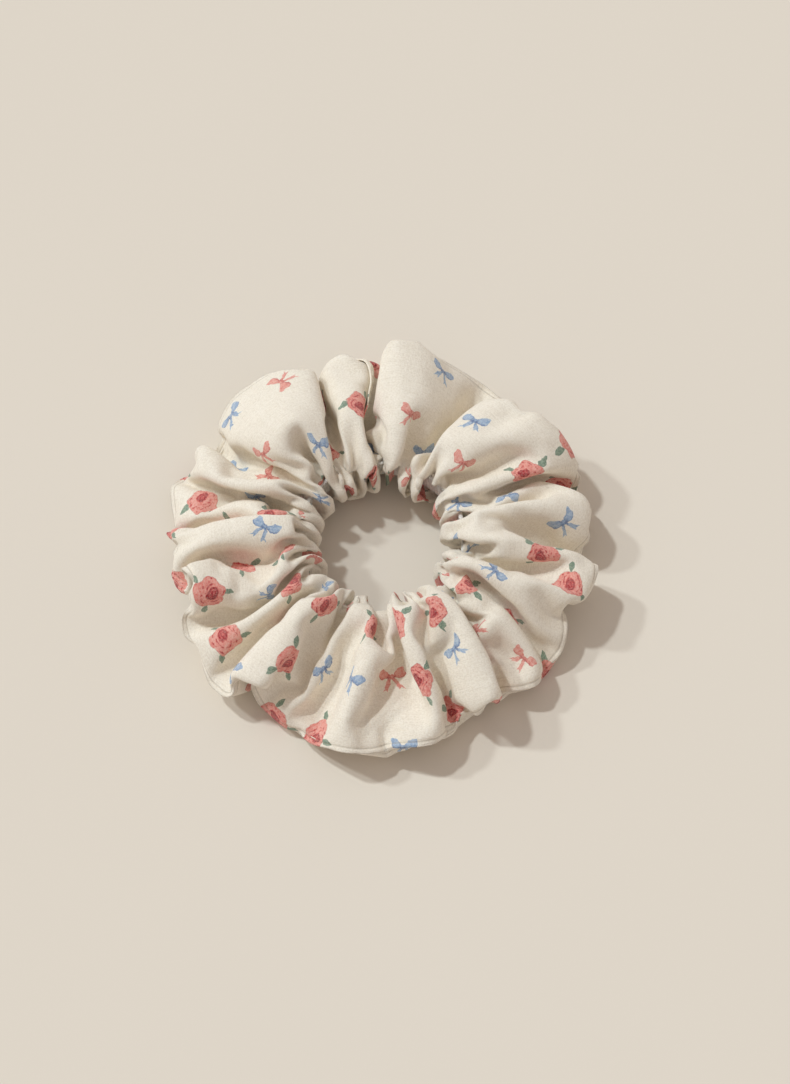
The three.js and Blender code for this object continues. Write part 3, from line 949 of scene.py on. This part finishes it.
def floor_paper():
    material, w, shader = new_material("floor_paper")
    place = w.node("TexCoord").outputs["Object"]
    mottle = w.noise(place, 9.0, 3.0).outputs["Fac"]
    colour = w.mix(mottle, paint(223, 215, 202), paint(225, 217, 204))
    w.feed(shader.inputs["Base Color"], colour)
    shader.inputs["Roughness"].default_value = 0.9
    shader.inputs["Specular IOR Level"].default_value = 0.2
    return material


# ---- Elastic and threads --------------------------------------------------------------------------


def elastic_band():
    """One flat braided band, its outer end lying on its inner end at the far side."""
    half_lap = ELASTIC_LAP / 2 / ELASTIC_RADIUS
    ramp = LAP_RAMP / ELASTIC_RADIUS
    start, end = CLOSING_ANGLE - half_lap, CLOSING_ANGLE + half_lap - ramp / 2 + 2 * math.pi
    turns = np.linspace(start, end, 400)
    past = np.clip((turns - CLOSING_ANGLE - half_lap) / ramp, 0, 1)
    climb = (ELASTIC_THICKNESS + LAP_GAP) * (1 - past * past * (3 - 2 * past))
    heights = np.linspace(-1, 1, 4 * ELASTIC_CORDS + 1)
    relief = CORD_RELIEF * np.abs(np.sin(heights * ELASTIC_CORDS / 2 * math.pi))
    thin = ELASTIC_THICKNESS / 2 - CORD_RELIEF
    outline = [(thin + r, h) for r, h in zip(relief, heights)]
    outline += [(-thin - r, h) for r, h in zip(relief[::-1], heights[::-1])]
    outline = np.array(outline) * [1, ELASTIC_WIDTH / 2 - 0.05 * MM]
    radius = ELASTIC_RADIUS + climb[:, None] + outline[None, :, 0]
    level = np.broadcast_to(ELASTIC_LEVEL + outline[:, 1], radius.shape)
    cos, sin = np.cos(turns)[:, None], np.sin(turns)[:, None]
    points = np.stack([radius * cos, radius * sin, level], -1).reshape(-1, 3)
    count = len(outline)
    faces = [list(f) for f in grid_faces(len(turns), count, False, True)]
    faces.append(list(range(count)))
    faces.append(list(range(len(points) - 1, len(points) - count - 1, -1)))
    band = mesh_piece("elastic_band", points, faces)
    place = np.zeros((len(turns), count, 3))
    place[..., 0] = (turns * ELASTIC_RADIUS / MM)[:, None]
    place[..., 1] = outline[:, 1] / MM
    band.data.attributes.new("band_place", "FLOAT_VECTOR", "POINT")
    band.data.attributes["band_place"].data.foreach_set("vector", place.ravel())
    return band


def elastic_join_thread(name, radius):
    """A zigzag through both ends of the elastic, as it shows on one face."""
    stitches, height = 10, 4 * MM
    span = (ELASTIC_LAP - LAP_RAMP) / ELASTIC_RADIUS
    turn = np.linspace(-span / 2, span / 2, stitches * 8 + 1)
    zigzag = 2 * np.abs((np.arange(len(turn)) / 8) % 2 - 1) - 1
    angle = CLOSING_ANGLE + turn
    level = ELASTIC_LEVEL + zigzag * height / 2
    path = np.stack([radius * np.cos(angle), radius * np.sin(angle), level], -1)
    return join_tubes(name, [tube_along(path, THREAD_RADIUS)])


def rim_seam_thread(name, points, side):
    """The long seam's thread, inside the tube beside the rim: side is 1 above and -1 below."""
    rim = points[:, 0]
    inward = unit((points[:, 9] + points[:, -10]) / 2 - rim)
    upward = unit(points[:, 9] - points[:, -10])
    beat = np.abs(np.sin(np.arange(len(rim)) * STRIP_LENGTH / FINE_ROWS / STITCH_LENGTH * math.pi))
    path = rim + inward * 1.5 * MM + upward * (side * (0.2 + 0.12 * beat) * MM)[:, None]
    return join_tubes(name, [tube_along(path, THREAD_RADIUS, sides=5)])


def closing_seam_thread(name, points, normals, around, side):
    """A row of stitches across the hem at the closing seam: side is 1 on top and -1 beneath."""
    row = len(points) - 2
    line, normal = points[row], normals[row]
    if side < 0:
        line, normal, around = line[::-1], normal[::-1], TUBE_AROUND - around[::-1]
    tubes = []
    start = 2 * MM
    while start + STITCH_LENGTH < TUBE_AROUND / 2 - 2 * MM:
        t = np.linspace(0, 1, 7)
        at = start + t * STITCH_LENGTH
        rise = (0.22 * np.sin(t * math.pi) ** 0.5 - 0.12) * MM
        path = np.stack([np.interp(at, around, line[:, k]) for k in range(3)], -1)
        out = unit(np.stack([np.interp(at, around, normal[:, k]) for k in range(3)], -1))
        tubes.append(tube_along(path + out * rise[:, None], THREAD_RADIUS))
        start += STITCH_LENGTH + STITCH_GAP
    return join_tubes(name, tubes)


# ---- The object -----------------------------------------------------------------------------------


def far_nodes(stem):
    return f"{stem}_near", f"{stem}_far_left", f"{stem}_far_right"


def finish_piece(piece, material, nodes):
    piece.data.materials.append(material)
    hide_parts(*nodes)
    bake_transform(piece)
    return piece


def make_cover(coarse, towards_camera):
    rows, _ = crease_rows()
    points, normals, along, around = fine_surface(coarse, rows[CLOSING_CREASE])
    faces = grid_faces(len(along), len(around), False, False)
    cover = mesh_piece("cover", points.reshape(-1, 3), faces)
    spots = lay_out_motifs(points, along, around, towards_camera)
    print_on(cover, along, around, spots)
    return cover, points, normals, around


def thicken(cover):
    """Turns the surface into cloth with a thickness, inwards of what shows."""
    solid = cover.modifiers.new("thickness", "SOLIDIFY")
    solid.thickness = CLOTH_THICKNESS
    solid.offset = -1
    with bpy.context.temp_override(object=cover, active_object=cover):
        bpy.ops.object.modifier_apply(modifier=solid.name)


towards_camera = set_camera()
set_floor()
set_lights()

coarse = gather_cloth()
cover, cloth_points, cloth_normals, cloth_around = make_cover(coarse, towards_camera)
thicken(cover)
cover_weave = weave_group()
finish_piece(cover, printed_cotton(cover_weave), far_nodes("cover"))

band = finish_piece(elastic_band(), braided_elastic(), far_nodes("elastic"))

thread = sewing_thread()
lap_top = ELASTIC_RADIUS + 1.5 * ELASTIC_THICKNESS + LAP_GAP
for kind, side, join_radius in (
    ("needle", 1, lap_top + THREAD_RADIUS),
    ("bobbin", -1, ELASTIC_RADIUS - ELASTIC_THICKNESS / 2 - THREAD_RADIUS),
):
    for stem, piece, nodes in (
        (
            "rim_seam",
            rim_seam_thread(f"rim_seam_{kind}_thread", cloth_points, side),
            far_nodes(f"rim_seam_{kind}_thread"),
        ),
        (
            "closing_seam",
            closing_seam_thread(
                f"closing_seam_{kind}_stitches", cloth_points, cloth_normals, cloth_around, side
            ),
            [f"closing_seam_{kind}_thread"],
        ),
        (
            "elastic_join",
            elastic_join_thread(f"elastic_join_{kind}_stitches", join_radius),
            [f"elastic_join_{kind}_thread"],
        ),
    ):
        finish_piece(piece, thread, nodes)
